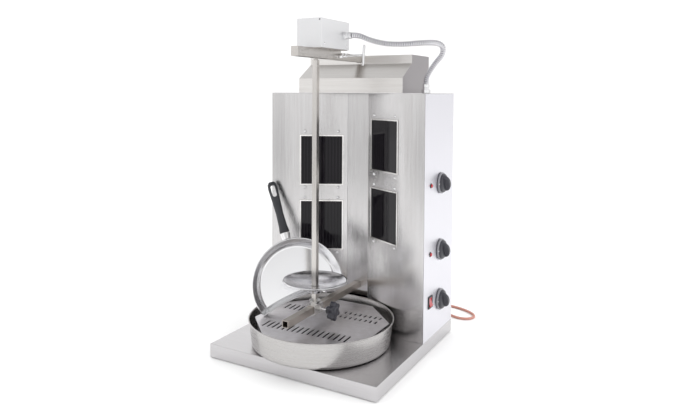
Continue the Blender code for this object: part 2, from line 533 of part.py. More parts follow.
def drip_tray():
    """Round tray with a thin rolled rim, and the slotted eight-sided grid that stands in it."""
    low = BASE_TOP + GAP
    profile = [(0, low), (158, low), (163, low + 2), (166.3, low + 6.5), (172.6, TRAY_TOP - 2.4), (174.2, TRAY_TOP - 2.4),
               (TRAY_R, TRAY_TOP - 1), (174, TRAY_TOP), (171.6, TRAY_TOP), (165, low + 8), (161.5, low + 3.4),
               (157.5, low + 1.5), (0, low + 1.5)]
    piece("drip_tray", turned(profile, (0, TRAY_Y, 0), 64), STEEL, (0, TRAY_Y, low))
    corner = GRID_INRADIUS / math.cos(math.pi / 8)
    outline = [(corner * math.cos(math.pi * (0.125 + i / 4)), TRAY_Y + corner * math.sin(math.pi * (0.125 + i / 4)))
               for i in range(8)]
    grid = piece("tray_grid", prism(outline, GRID_Z - SHEET, GRID_Z), STEEL)
    for i in range(4):
        angle = math.pi * (0.25 + i / 2)
        leg = box((GRID_INRADIUS - SHEET, -18, low + 1.5 + GAP), (GRID_INRADIUS, 18, GRID_Z - 0.4))
        join(grid, placed(leg, Matrix.Translation((0, TRAY_Y, 0)) @ Matrix.Rotation(angle, 4, "Z")))
    slots = [box((x - 2.4, 52, 70), (x + 2.4, 88, 95)) for x in (13.3 * i for i in range(-8, 9))]
    slots += [box((x - 2.4, y, 70), (x + 2.4, y + 15, 95)) for x in (30 + 13.3 * i for i in range(8)) for y in (184, 213)]
    slots += [box((-x - 2.4, 180, 70), (-x + 2.4, 214, 95)) for x in (30 + 13.3 * i for i in range(8))]
    skew = Matrix.Translation((0, TRAY_Y, 0)) @ Matrix.Rotation(math.radians(3), 4, "Z") @ Matrix.Translation((0, -TRAY_Y, 0))
    cut(grid, placed(several(slots), skew))


def crescent(radius, bite, depth):
    """Outline of the catch pan at one depth: a circle less a shallow arc, a little off the handle's line."""
    reach = bite + PAN_CUT_R
    y = -(radius ** 2 + reach ** 2 - PAN_CUT_R ** 2) / (2 * reach)
    tip = math.atan2(y, math.sqrt(radius ** 2 - y ** 2))
    start, stop = tip, math.pi - tip
    angles = [start + (stop - start) * i / 40 for i in range(41)]
    ring = [(radius * math.cos(angle), radius * math.sin(angle)) for angle in angles]
    x = math.sqrt(radius ** 2 - y ** 2)
    for i in range(1, 12):
        across = -x + 2 * x * i / 12
        ring.append((across, -reach + math.sqrt(PAN_CUT_R ** 2 - across ** 2)))
    skew = Matrix.Rotation(PAN_SKEW, 3, "Z")
    return [skew @ Vector((a, b, -depth)) for a, b in ring]


def catch_pan():
    """Crescent pan that stands in the tray and leans back, its handle end against the left strip."""
    level = Vector((math.sin(PAN_AZIMUTH), -math.cos(PAN_AZIMUTH), 0))
    facing = level * math.cos(PAN_LEAN) + Vector((0, 0, math.sin(PAN_LEAN)))
    right = Vector((math.cos(PAN_AZIMUTH), math.sin(PAN_AZIMUTH), 0))
    up = facing.cross(right)
    turn = Matrix((right, up, facing)).transposed().to_4x4() @ Matrix.Rotation(PAN_ROLL, 4, "Z")
    where = Matrix.Translation(PAN_CENTRE) @ turn
    rim, floor = crescent(PAN_R, 34, 0), crescent(PAN_FLOOR_R, 24, PAN_DEPTH)
    bm = bmesh.new()
    top = [bm.verts.new(point) for point in rim]
    low = [bm.verts.new(point) for point in floor]
    for i in range(len(top)):
        j = (i + 1) % len(top)
        bm.faces.new((low[i], low[j], top[j], top[i]))
    bm.faces.new(reversed(low))
    bmesh.ops.recalc_face_normals(bm, faces=bm.faces)
    if max(bm.faces, key=lambda face: len(face.verts)).normal.z > 0:
        bmesh.ops.reverse_faces(bm, faces=bm.faces)
    pan = open_sheet("catch_pan", placed(bm, where), BRIGHT)
    thicken(pan, 1.6)
    ferrule = placed(rod((0, 112.5, -17), (0, 130, -20), 10.5, 12.5, sides=20), where)
    piece("pan_ferrule", ferrule, BRIGHT)
    stations = ((132.8, -20.4, 13.2, 8.5), (150, -25, 11, 8), (185, -33.5, 9.8, 7.5), (225, -43, 11.5, 7.5),
                (255, -50, 13.2, 7.5), (268, -53, 12.0, 7), (275, -54.5, 7.5, 5))
    rings = [[Vector((wide * math.cos(math.tau * i / 16), along, depth + thick * math.sin(math.tau * i / 16)))
              for i in range(16)] for along, depth, wide, thick in stations]
    handle = piece("pan_handle", placed(lofted(rings), where), BLACK)
    slot = prism([(6.0 * math.cos(a),
                   (238 if math.sin(a) < 0 else 260) + 6.0 * math.sin(a))
                  for a in (math.tau * (i + 0.5) / 16 for i in range(16))], -80, -20)
    cut(handle, placed(slot, where))


plinth()
cabinet()
hood()
window_sets()
controls()
upper_arm()
upper_carriage()
lower_arm()
lower_carriage()
spit()
conduit()
power_cord()
drip_tray()
catch_pan()
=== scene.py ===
import math

import bmesh
import bpy
from mathutils import Matrix, Vector


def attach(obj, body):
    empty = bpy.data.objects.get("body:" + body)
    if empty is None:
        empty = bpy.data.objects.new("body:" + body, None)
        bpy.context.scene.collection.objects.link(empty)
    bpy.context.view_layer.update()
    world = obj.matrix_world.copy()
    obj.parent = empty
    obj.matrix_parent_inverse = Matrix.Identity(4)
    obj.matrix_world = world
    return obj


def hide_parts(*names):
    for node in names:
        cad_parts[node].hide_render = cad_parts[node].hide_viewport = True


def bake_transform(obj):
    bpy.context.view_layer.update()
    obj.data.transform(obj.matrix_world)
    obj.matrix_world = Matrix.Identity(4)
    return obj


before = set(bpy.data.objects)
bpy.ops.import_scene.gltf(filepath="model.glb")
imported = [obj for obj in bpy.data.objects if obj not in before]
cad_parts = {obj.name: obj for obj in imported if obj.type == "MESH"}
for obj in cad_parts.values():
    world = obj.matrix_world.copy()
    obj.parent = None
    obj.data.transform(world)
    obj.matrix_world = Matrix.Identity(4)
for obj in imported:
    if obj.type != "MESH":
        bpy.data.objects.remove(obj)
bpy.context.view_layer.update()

# Camera. It looks down a little at the grill's front right corner, with its frame moved sideways
# and down on the sensor instead of tilting further.
camera = bpy.data.objects.new("camera", bpy.data.cameras.new("camera"))
bpy.context.scene.collection.objects.link(camera)
bpy.context.scene.camera = camera
SENSOR_WIDTH = 36.0
FRAME_WIDTH = 700.0
FOCAL_DISTANCE = 626.28  # in the unit of the frame's width
camera.data.sensor_width = SENSOR_WIDTH
camera.data.lens = FOCAL_DISTANCE * SENSOR_WIDTH / FRAME_WIDTH
camera.data.shift_x = 0.0197
camera.data.shift_y = -0.1307
camera.data.clip_end = 60.0
heading = Matrix.Rotation(math.radians(29.689), 4, "Z")
dip = Matrix.Rotation(math.pi / 2 - math.radians(2.351), 4, "X")
roll = Matrix.Rotation(math.radians(0.284), 4, "Z")
camera.matrix_world = Matrix.Translation((0.75263, -1.35736, 0.63209)) @ (heading @ dip @ roll)

# Mains lead. Salmon silicone flex, 6.5 mm across, that leaves the rear panel through a gland, lies
# on the counter in one loose loop and is wound into a round coil behind the grill, plug beside it.
# Sizes in this file are millimetres from the plinth's front edge and middle; `TO_ROW` places them.
MIDDLE = Vector((13.0, 229.35, 0.0))
TO_ROW = Matrix.Scale(0.001, 4) @ Matrix.Translation(-MIDDLE)
FLEX_RADIUS = 3.25


class Signal:
    """Something that varies over a surface. Sums and products of signals add Math nodes."""

    def __init__(self, graph, socket):
        self.graph = graph
        self.socket = socket

    def _math(self, operation, first, second):
        return self.graph.node("ShaderNodeMath", {"operation": operation}, {0: first, 1: second})

    def __add__(self, other):
        return self._math("ADD", self, other)

    def __sub__(self, other):
        return self._math("SUBTRACT", self, other)

    def __rsub__(self, other):
        return self._math("SUBTRACT", other, self)

    def __mul__(self, other):
        return self._math("MULTIPLY", self, other)

    def __pow__(self, other):
        return self._math("POWER", self, other)

    __radd__ = __add__
    __rmul__ = __mul__


class Graph:
    """Nodes of one material or of the surround, each added with its type, settings and inputs."""

    def __init__(self, tree):
        self.tree = tree

    def node(self, kind, settings=None, inputs=None, out=0):
        made = self.tree.nodes.new(kind)
        for setting, value in (settings or {}).items():
            setattr(made, setting, value)
        for socket, value in (inputs or {}).items():
            if isinstance(value, Signal):
                self.tree.links.new(value.socket, made.inputs[socket])
            else:
                made.inputs[socket].default_value = value
        return Signal(self, made.outputs[out])

    def place(self, scale=(1.0, 1.0, 1.0)):
        spot = self.node("ShaderNodeTexCoord", out="Object")
        return self.node("ShaderNodeMapping", None, {"Vector": spot, "Scale": scale})

    def noise(self, where, scale=1.0, detail=2.0, roughness=0.5):
        inputs = {"Vector": where, "Scale": scale, "Detail": detail, "Roughness": roughness}
        return self.node("ShaderNodeTexNoise", None, inputs)

    def blend(self, mask, first, second):
        # A colour Mix node takes its two colours at sockets 6 and 7 and gives the result at output 2.
        inputs = {"Factor": mask}
        for socket, colour in ((6, first), (7, second)):
            inputs[socket] = (*colour, 1.0) if isinstance(colour, tuple) else colour
        return self.node("ShaderNodeMix", {"data_type": "RGBA"}, inputs, out=2)

    def step(self, value, low, high, start=0.0, stop=1.0):
        inputs = {"Value": value, "From Min": low, "From Max": high, "To Min": start, "To Max": stop}
        return self.node("ShaderNodeMapRange", {"interpolation_type": "SMOOTHSTEP"}, inputs)


class Finish(Graph):
    """A procedural material: constants on the shader's own sockets, and signals for what varies."""

    def __init__(self, name, colour, roughness, metallic=0.0, **constants):
        self.material = bpy.data.materials.new(name)
        self.material.use_nodes = True
        super().__init__(self.material.node_tree)
        self.shader = self.tree.nodes["Principled BSDF"]
        self.shader.inputs["Base Color"].default_value = (*colour, 1.0)
        self.shader.inputs["Roughness"].default_value = roughness
        self.shader.inputs["Metallic"].default_value = metallic
        for socket, value in constants.items():
            self.shader.inputs[socket.replace("_", " ")].default_value = value

    def feed(self, socket, signal):
        self.tree.links.new(signal.socket, self.shader.inputs[socket])

    def colour_so_far(self):
        return Signal(self, self.shader.inputs["Base Color"].links[0].from_socket)

    def bump(self, height, distance, strength=1.0):
        inputs = {"Height": height, "Distance": distance, "Strength": strength}
        self.feed("Normal", self.node("ShaderNodeBump", None, inputs))


def smooth_route(points, steps, leaving, arriving):
    """Catmull-Rom curve through the points, starting and ending along the two directions."""
    inner = [Vector(point) for point in points]
    first = inner[1] - Vector(leaving) * 2 * (inner[1] - inner[0]).length
    last = inner[-2] + Vector(arriving) * 2 * (inner[-1] - inner[-2]).length
    spots = [first, *inner, last]
    found = []
    for a, b, c, d in zip(spots, spots[1:], spots[2:], spots[3:]):
        for k in range(steps):
            t = k / steps
            found.append(0.5 * ((2 * b) + (c - a) * t + (2 * a - 5 * b + 4 * c - d) * t * t
                                + (3 * b - a - 3 * c + d) * t ** 3))
    return [*found, inner[-1]]


flex_route = [(120, 486.7, 60), (120, 501, 57.5), (121, 517, 49), (125, 534, 33), (132, 548, 17),
              (145, 559, 6.2), (162, 563, 3.6), (180, 558, 3.6), (197, 550.5, 3.6), (213, 547.5, 3.6),
              (228, 551, 3.6), (239, 561, 3.6), (243, 576, 3.6), (238, 591, 3.6), (226, 604, 3.6),
              (209, 615, 3.6), (187, 624, 3.6), (162, 630.5, 3.6), (135, 634.5, 3.6), (104, 635.4, 3.6),
              (74, 634.3, 3.6)]
flex = smooth_route(flex_route, 5, (0, 1, 0), (-1, 0, 0))
# Stages of the winding: angle about the coil's middle, radius, height. Each step between turns
# has its own sector, so that no turn passes through another.
INNER_TURN = 35.8
OUTER_TURN = 42.3
LAYERS = (3.6, 10.1, 16.6)
COIL_X = 70
COIL_Y = 585
WINDING_STEP = 9  # degrees
winding = [(90, 49.3, 0), (171, OUTER_TURN, 0), (395, OUTER_TURN, 0), (445, INNER_TURN, 0),
           (705, INNER_TURN, 0), (755, INNER_TURN, 1), (1015, INNER_TURN, 1), (1065, INNER_TURN, 2),
           (1325, INNER_TURN, 2), (1375, OUTER_TURN, 2), (1635, OUTER_TURN, 2), (1685, OUTER_TURN, 1),
           (1890, OUTER_TURN, 1)]
for (a0, r0, l0), (a1, r1, l1) in zip(winding, winding[1:]):
    count = (a1 - a0) // WINDING_STEP
    for i in range(1, count + 1):
        t = i / count
        ease = t * t * (3 - 2 * t)
        angle = math.radians(a0 + (a1 - a0) * t)
        radius = r0 + (r1 - r0) * ease
        height = LAYERS[l0] + (LAYERS[l1] - LAYERS[l0]) * ease
        flex.append(Vector((COIL_X + radius * math.cos(angle), COIL_Y + radius * math.sin(angle), height)))
flex += [Vector((58, 627.3, 10.1)), Vector((44, 627.1, 10.4)), Vector((30, 627, 12.7))]

silicone = Finish("salmon_silicone", (0.56, 0.27, 0.22), 0.5, Specular_IOR_Level=0.4)
dust = silicone.noise(silicone.place(), 220.0, 3.0)
silicone.feed("Base Color", silicone.blend(dust, (0.60, 0.30, 0.245), (0.50, 0.225, 0.18)))
silicone.feed("Roughness", 0.42 + dust * 0.2)
silicone.bump(silicone.noise(silicone.place(), 1800.0), 0.0002, 0.35)

flex_curve = bpy.data.curves.new("mains_flex", "CURVE")
flex_curve.dimensions = "3D"
flex_curve.bevel_depth = FLEX_RADIUS * 0.001
flex_curve.bevel_resolution = 4
flex_curve.use_fill_caps = True
spline = flex_curve.splines.new("POLY")
spline.points.add(len(flex) - 1)
for point, spot in zip(spline.points, flex):
    point.co = (*(TO_ROW @ spot), 1.0)
spline.use_smooth = True
flex_curve.materials.append(silicone.material)
mains_flex = bpy.data.objects.new("mains_flex", flex_curve)
bpy.context.scene.collection.objects.link(mains_flex)
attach(mains_flex, "root")
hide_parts("power_cord", "cord_coil")
flex_length = sum((b - a).length for a, b in zip(flex, flex[1:])) * 0.001


SLIGHT_BEND = math.radians(8)
MUCH_WIDER = 12


def piece(name, bm, finish, body, *stands_for, slot=None, sharp=35.0):
    """A finished piece from a bmesh in millimetres: faces outwards, smooth shading, on its body."""
    bmesh.ops.recalc_face_normals(bm, faces=bm.faces)
    for face in bm.faces:
        face.smooth = True
    for edge in bm.edges:
        if edge.is_manifold:
            # A wide flat face keeps its own shading beside the narrow faces of a rounded edge.
            bend = edge.calc_face_angle()
            small, large = sorted(face.calc_area() for face in edge.link_faces)
            alike = bend < SLIGHT_BEND or large < MUCH_WIDER * small
            edge.smooth = bend < math.radians(sharp) and alike
    bmesh.ops.transform(bm, matrix=TO_ROW, verts=bm.verts)
    mesh = bpy.data.meshes.new(name)
    bm.to_mesh(mesh)
    bm.free()
    mesh.materials.append(finish.material)
    made = bpy.data.objects.new(name, mesh)
    bpy.context.scene.collection.objects.link(made)
    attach(made, body)
    if stands_for:
        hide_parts(*stands_for)
    return made


def turned(profile, matrix=Matrix(), sides=64):
    """A (radius, height) profile spun about Z, then placed with the matrix."""
    bm = bmesh.new()
    verts = [bm.verts.new((radius, 0.0, height)) for radius, height in profile]
    edges = [bm.edges.new(pair) for pair in zip(verts, verts[1:])]
    bmesh.ops.spin(bm, geom=verts + edges, cent=(0, 0, 0), axis=(0, 0, 1), angle=math.tau, steps=sides,
                   use_merge=True)
    bmesh.ops.remove_doubles(bm, verts=bm.verts, dist=0.0005)
    bmesh.ops.transform(bm, matrix=matrix, verts=bm.verts)
    return bm


def block(low, high, round_by=0.0, segments=2):
    """A box between two corners with its edges rounded."""
    bm = bmesh.new()
    bmesh.ops.create_cube(bm, size=1.0)
    bmesh.ops.scale(bm, vec=Vector(high) - Vector(low), verts=bm.verts)
    bmesh.ops.translate(bm, vec=(Vector(low) + Vector(high)) / 2, verts=bm.verts)
    if round_by:
        rounded(bm, round_by, segments)
    return bm


def rounded(bm, by, segments=2, over=30.0):
    bm.normal_update()
    sharp = [e for e in bm.edges if e.is_manifold and e.calc_face_angle() > math.radians(over)]
    bmesh.ops.bevel(bm, geom=sharp, offset=by, offset_type="OFFSET", segments=segments, profile=0.5,
                    affect="EDGES", clamp_overlap=True, material=-1)
    return bm


def gathered(*parts):
    """Several separate bmeshes in one."""
    whole = bmesh.new()
    for bm in parts:
        bmesh.ops.recalc_face_normals(bm, faces=bm.faces)
        mesh = bpy.data.meshes.new("part")
        bm.to_mesh(mesh)
        bm.free()
        whole.from_mesh(mesh)
        bpy.data.meshes.remove(mesh)
    return whole


X_AXIS = Matrix.Rotation(math.radians(90), 4, "Y")  # takes Z to X
Y_AXIS = Matrix.Rotation(math.radians(-90), 4, "X")  # takes Z to Y

# Plug on the lead. Moulded black thermoplastic round the pins, tapering into a ribbed strain relief.
plastic = Finish("black_moulding", (0.022, 0.023, 0.027), 0.4, Specular_IOR_Level=0.5)
grain = plastic.noise(plastic.place(), 900.0, 3.0)
plastic.feed("Roughness", 0.30 + grain * 0.22)
wear = plastic.noise(plastic.place(), 30.0)
plastic.feed("Base Color", plastic.blend(wear, (0.018, 0.019, 0.023), (0.034, 0.035, 0.041)))
plastic.bump(grain, 0.0003, 0.25)
lie = Matrix.Translation((43.6, 627, 10.4)) @ Matrix.Rotation(math.radians(9.6), 4, "Y") @ X_AXIS.inverted()
outline = [(0, 2.0), (3.4, 2.0), (4.4, 3.0)]
for i in range(5):
    for radius, height in ((4.5, 4.5), (5.3, 5.2), (5.3, 7.4), (4.6, 8.1)):
        outline.append((radius + 0.4 * i, height + 4 * i))
outline += [(7.5, 25.5), (10, 30), (14.6, 41.5), (17.4, 47.5), (18.5, 51.5), (18.5, 64), (18.0, 65.2),
            (16.8, 65.8), (14.6, 65.8), (14.2, 64.8), (0, 64.8)]
plug = piece("mains_plug", turned(outline, lie, 48), plastic, "root", "power_plug", slot="black_plastic")
chrome = Finish("bright_plating", (0.80, 0.80, 0.81), 0.14, 1.0)
chrome.feed("Roughness", 0.08 + chrome.noise(chrome.place(), 160.0, 3.0) * 0.16)
pin = [(0, 63.5), (2.4, 63.5), (2.4, 82), (2.1, 83.6), (1.2, 84.8), (0, 85)]
pins = gathered(*[turned(pin, lie @ Matrix.Translation((x, 0, 0)), 20) for x in (-9.5, 9.5)])
pins = piece("plug_pins", pins, chrome, "root", slot="polished_aluminium")

# Gland in the rear panel. Black nylon hexagon, clamp dome and tapered relief round the lead.
gland = [(0, 0), (9.6, 0), (9.6, 6), (9.0, 8), (7.6, 12), (6.6, 14), (6.4, 16.5), (5.8, 17), (6.2, 18.5),
         (5.5, 21), (5.9, 22.5), (5.2, 25), (5.6, 26.5), (4.9, 29), (5.2, 30.5), (4.5, 35.8), (0, 35.8)]
nut = bmesh.new()
bmesh.ops.create_cone(nut, cap_ends=True, segments=6, radius1=11.8, radius2=11.8, depth=6.5)
rounded(nut, 0.6)
bmesh.ops.transform(nut, matrix=Matrix.Translation((120, 453.6, 60)) @ Y_AXIS, verts=nut.verts)
stub = turned([(0, -14), (5.8, -14), (5.8, 1), (0, 1)], Matrix.Translation((120, 450.3, 60)) @ Y_AXIS, 32)
relief = turned(gland, Matrix.Translation((120, 450.6, 60)) @ Y_AXIS, 40)
piece("lead_gland", gathered(nut, stub, relief), plastic, "root", "cord_gland", slot="black_plastic")


# Plinth. One sheet of brushed stainless folded down on four sides, its top grained from side to
# side, standing on four moulded rubber feet.
WARM_SHADE = (1.0, 0.985, 0.975)


def brushed(name, colour, stretch, roughness=0.25, depth=0.00006):
    """Stainless with a directional grain: `stretch` is the pattern's scale along each axis."""
    made = Finish(name, colour, roughness, 1.0)
    fine = made.noise(made.place(stretch), 1.0, 3.0, 0.6)
    coarse = made.noise(made.place(tuple(s * 0.3 for s in stretch)), 1.0, 2.0)
    light = tuple(min(1.0, c * 1.07) for c in colour)
    dark = tuple(c * 0.91 * w for c, w in zip(colour, WARM_SHADE))
    made.feed("Base Color", made.blend(made.step(fine * 0.6 + coarse * 0.4, 0.25, 0.75), dark, light))
    made.feed("Roughness", roughness - 0.06 + fine * 0.12)
    made.bump(fine, depth)
    return made


def copied(node, round_by=0.35, segments=2, over=30.0):
    """The solid's own shape in millimetres, with merged points, whole faces and softened edges."""
    bm = bmesh.new()
    bm.from_mesh(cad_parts[node].data)
    bmesh.ops.transform(bm, matrix=TO_ROW.inverted(), verts=bm.verts)
    bmesh.ops.remove_doubles(bm, verts=bm.verts, dist=0.01)
    bmesh.ops.dissolve_limit(bm, angle_limit=math.radians(0.4), use_dissolve_boundaries=False,
                             verts=bm.verts, edges=bm.edges)
    if round_by:
        rounded(bm, round_by, segments, over)
    return bm


steel_flat = brushed("stainless_grained_across", (0.60, 0.592, 0.605), (14, 1500, 1500))
steel_tall = brushed("stainless_grained_upright", (0.63, 0.623, 0.628), (1500, 1500, 12), 0.23, 0.0002)
steel_deep = brushed("stainless_grained_lengthwise", (0.56, 0.54, 0.52), (1500, 16, 1500))
piece("plinth_tray", copied("plinth", 0.9, 3), steel_flat, "root", "plinth", slot="brushed_stainless")
rubber = Finish("foot_rubber", (0.03, 0.03, 0.032), 0.75)
rubber.feed("Roughness", 0.65 + rubber.noise(rubber.place(), 400.0, 3.0) * 0.3)
rubber.bump(rubber.noise(rubber.place(), 1200.0), 0.0003, 0.4)
for i, (x, y) in enumerate(((-206, 14), (206, 14), (-206, 436), (206, 436))):
    foot = [(0, 0), (9.4, 0), (10.2, 0.5), (10.9, 1.7), (0, 1.7)]
    pad = turned(foot, Matrix.Translation((x, y, 0)), 40)
    piece(f"foot_pad_{i + 1}", pad, rubber, "root", f"foot_{i + 1}", slot="foot_rubber")

# Heater cabinet. Loose folded sheets: two front sheets that turn in at an angle, a recessed strip
# between them, plain sides and back, and a lid. The side with the controls has a paler satin face.
satin = Finish("satin_cover", (0.78, 0.77, 0.82), 0.42, 1.0)
haze = satin.noise(satin.place((900, 900, 14)), 1.0, 3.0)
satin.feed("Roughness", 0.38 + haze * 0.1)
satin.feed("Base Color", satin.blend(haze, (0.755, 0.75, 0.795), (0.80, 0.795, 0.835)))
satin.bump(haze, 0.0001, 0.2)
for node in ("left_front_sheet", "right_front_sheet", "middle_strip", "left_side_panel", "rear_panel"):
    piece(f"{node}_skin", copied(node, 0.3, 2), steel_tall, "root", node, slot="brushed_stainless")
piece("right_side_skin", copied("right_side_panel", 0.3, 2), satin, "root", "right_side_panel",
      slot="satin_cover")
piece("lid_skin", copied("top_panel", 0.3, 2), steel_flat, "root", "top_panel", slot="brushed_stainless")

# Screws. Dome-headed steel, plated bright. Two sit above and two below each window, and four go
# down each side edge of the rear panel.
FOLD = Vector((174.0, 253.0, 0.0))
STRIP = Vector((30.5, 332.0, 0.0))


def on_window_panel(side, along, height, proud=0.0):
    """A place on the angled panel: x runs across the panel, y into it, z up."""
    start = Vector((side * FOLD.x, FOLD.y, 0))
    stop = Vector((side * STRIP.x, STRIP.y, 0))
    run = (stop - start).normalized()
    across = run if side < 0 else -run
    outwards = Vector((across.y, -across.x, 0))
    turn = Matrix((across, -outwards, Vector((0, 0, 1)))).transposed().to_4x4()
    return Matrix.Translation(start + run * along + outwards * proud + Vector((0, 0, height))) @ turn


def dome_screw(where, radius=4.1, rise=2.7):
    """Round head with a dimple in its middle; local Z of `where` points out of the sheet."""
    profile = [(0, rise * 0.62), (radius * 0.2, rise * 0.66), (radius * 0.34, rise * 0.97),
               (radius * 0.6, rise * 0.82), (radius * 0.85, rise * 0.5), (radius, rise * 0.08),
               (radius * 0.97, -0.2), (0, -0.2)]
    return turned(profile, where, 16)


outwards_turn = Matrix.Rotation(math.radians(90), 4, "X")
heads = []
for side, heights in ((-1, (530, 380, 353, 205)), (1, (575, 423, 397, 248))):
    for height in heights:
        for along in (49.5, 138.0):
            heads.append(dome_screw(on_window_panel(side, along, height) @ outwards_turn))
piece("window_screws", gathered(*heads), chrome, "root", slot="brushed_stainless")
heads = []
for x in (-208, 208):
    for z in (50, 240, 430, 615):
        heads.append(dome_screw(Matrix.Translation((x, 450, z)) @ Y_AXIS, 3.4))
piece("panel_screws", gathered(*heads), chrome, "root", slot="brushed_stainless")

# Hood. Open-topped deflector folded from one sheet of fine-grained stainless, standing on the lid.
# Its faces that look to the right, as the right end plate does, carry painted shade: they are coloured darker
# than its front.
steel_pale = brushed("stainless_fine_grain", (0.73, 0.715, 0.70), (14, 1500, 1500), 0.3)
faces_to = steel_pale.node("ShaderNodeTexCoord", out="Normal")
sideways = steel_pale.node("ShaderNodeVectorMath", {"operation": "DOT_PRODUCT"},
                           {0: faces_to, 1: (1, 0, 0)}, out="Value")
front_colour = steel_pale.colour_so_far()
# Painted shade: faces turned to the right get a darker colour than the front.
right_side_painted_shade = steel_pale.step(sideways, 0.85, 0.97)
steel_pale.feed("Base Color", steel_pale.blend(right_side_painted_shade, front_colour, (0.36, 0.34, 0.35)))
piece("hood_sheet", copied("hood", 0.3, 2), steel_pale, "root", "hood", slot="brushed_stainless")

# Windows. Black heat-proof glass behind each opening, a pressed bright frame in front of it, and a
# hollow ceramic heater block behind it with bars across its face.
glass = Finish("black_heat_glass", (0.010, 0.009, 0.011), 0.04, IOR=1.45, Specular_IOR_Level=0.3)
bands = {"wave_type": "BANDS", "bands_direction": "X", "wave_profile": "SIN"}
ribs = glass.node("ShaderNodeTexWave", bands,
                  {"Vector": glass.place(), "Scale": 42.0, "Distortion": 0.6, "Detail": 1.0})
clouds = glass.noise(glass.place(), 9.0, 2.0)
glass.feed("Base Color", glass.blend(ribs * clouds, (0.004, 0.003, 0.005), (0.020, 0.018, 0.021)))
glass.feed("Roughness", 0.03 + clouds * 0.05)
frame_steel = brushed("bright_frame", (0.80, 0.79, 0.78), (600, 600, 600), 0.2, 0.00002)
ceramic = Finish("heater_ceramic", (0.66, 0.60, 0.52), 0.8)
mottle = ceramic.noise(ceramic.place(), 120.0, 4.0)
ceramic.feed("Base Color", ceramic.blend(mottle, (0.60, 0.53, 0.45), (0.74, 0.69, 0.62)))
ceramic.bump(ceramic.noise(ceramic.place(), 700.0, 3.0), 0.0004, 0.4)
for name in ("left_upper", "left_lower", "right_upper", "right_lower"):
    piece(f"frame_{name}", copied(f"bezel_{name}", 0.75, 3), frame_steel, "root", f"bezel_{name}",
          slot="brushed_stainless")
    piece(f"pane_{name}", copied(f"glass_{name}", 0.4, 2), glass, "root", f"glass_{name}",
          slot="black_ceramic_glass")
    piece(f"element_{name}", copied(f"heater_{name}", 0.5, 2), ceramic, "root", f"heater_{name}",
          slot="heater_ceramic")

# Controls. Three phenolic knobs with a raised grip on energy regulators, two neon lamps behind
# red lenses, and a red mains rocker in a black bezel.
KNOB_Y = 359.0
KNOB_HEIGHTS = (408.0, 240.5, 114.0)
SIDE_FACE_X = 220.3
LAMP_Y = 293.0
LAMP_HEIGHTS = (408.5, 241.0)
slate = Finish("slate_phenolic", (0.03, 0.03, 0.038), 0.33, Specular_IOR_Level=0.5)
speck = slate.noise(slate.place(), 700.0, 3.0)
slate.feed("Roughness", 0.26 + speck * 0.2)
slate_shade = slate.noise(slate.place(), 40.0)
slate.feed("Base Color", slate.blend(slate_shade, (0.024, 0.024, 0.031), (0.042, 0.042, 0.053)))
slate.bump(speck, 0.0003, 0.3)
paint = Finish("white_marking", (0.85, 0.85, 0.84), 0.5)
paint.feed("Roughness", 0.4 + paint.noise(paint.place(), 300.0) * 0.2)
# Painted reflection: the knob skirts are coloured a paler grey than the dials, for the bright surround
# mirrored on their grazing rim.
skirt_painted_reflection = Finish("knob_skirt_grey_painted_reflection", (0.24, 0.24, 0.26), 0.3)
skirt_painted_reflection.feed("Roughness", 0.26 + skirt_painted_reflection.noise(skirt_painted_reflection.place(), 500.0) * 0.16)
KNOB_BODIES = ("upper_knob", "middle_knob", "lower_knob")
GRIP_REACH = 22.7
GRIP_FOOT = 6.0
GRIP_END = 7.4
GRIP_RISE = 18.1
for i, (z, body) in enumerate(zip(KNOB_HEIGHTS, KNOB_BODIES)):
    seat = Matrix.Translation((SIDE_FACE_X, KNOB_Y, z)) @ X_AXIS
    # Local frame: z out of the panel, y along the machine's depth, x downwards.
    skirt = [(0, 1), (25.2, 1), (26.2, 1.6), (26.5, 2.8), (26.3, 4.6), (25.4, 5.8), (23.8, 6.0), (0, 6.0)]
    piece(f"knob_skirt_{i + 1}", turned(skirt, seat, 72), skirt_painted_reflection, body, f"knob_{i + 1}",
          slot="black_plastic")
    drum = [(0, 5.8), (23.6, 5.8), (23.4, 8.0), (22.4, 10.2), (20.6, 11.6), (17, 12.6), (8, 13.2), (0, 13.4)]
    dial = turned(drum, seat, 72)
    grip = bmesh.new()
    bmesh.ops.create_cube(grip, size=1.0)
    bmesh.ops.scale(grip, vec=(45.4, 15.0, 2.0), verts=grip.verts)
    long_edges = [e for e in grip.edges if abs(e.verts[0].co.x - e.verts[1].co.x) > 1]
    bmesh.ops.subdivide_edges(grip, edges=long_edges, cuts=15, use_grid_fill=True)
    for vert in grip.verts:
        reach = min(1.0, abs(vert.co.x) / GRIP_REACH)
        if vert.co.z > 0:
            vert.co.z = GRIP_END + GRIP_RISE * math.sqrt(max(0.0, 1 - reach ** 2.4))
            vert.co.y *= 0.62
        else:
            vert.co.z = GRIP_FOOT
        vert.co.y *= 1 - 0.35 * reach ** 2
    rounded(grip, 0.9, 3, 50)
    bmesh.ops.transform(grip, matrix=seat @ Matrix.Rotation(math.radians(28), 4, "Z"), verts=grip.verts)
    shaft = turned([(0, -12), (3.0, -12), (3.0, 2), (0, 2)], seat, 20)
    piece(f"knob_dial_{i + 1}", gathered(dial, grip, shaft), slate, body, slot="black_plastic", sharp=42)
    mark = block((-1.2, -25.4, 5.2), (1.2, -18.4, 6.5), 0.3)
    bmesh.ops.transform(mark, matrix=seat, verts=mark.verts)
    piece(f"knob_mark_{i + 1}", mark, paint, body, slot="satin_cover")
    piece(f"regulator_body_{i + 1}", copied(f"regulator_{i + 1}", 1.0, 2), plastic, "root",
          f"regulator_{i + 1}", slot="black_plastic")
red = Finish("red_lens", (0.42, 0.012, 0.022), 0.16, Coat_Weight=0.6, Coat_Roughness=0.05)
red.feed("Base Color", red.blend(red.noise(red.place(), 260.0), (0.50, 0.012, 0.022), (0.30, 0.006, 0.014)))
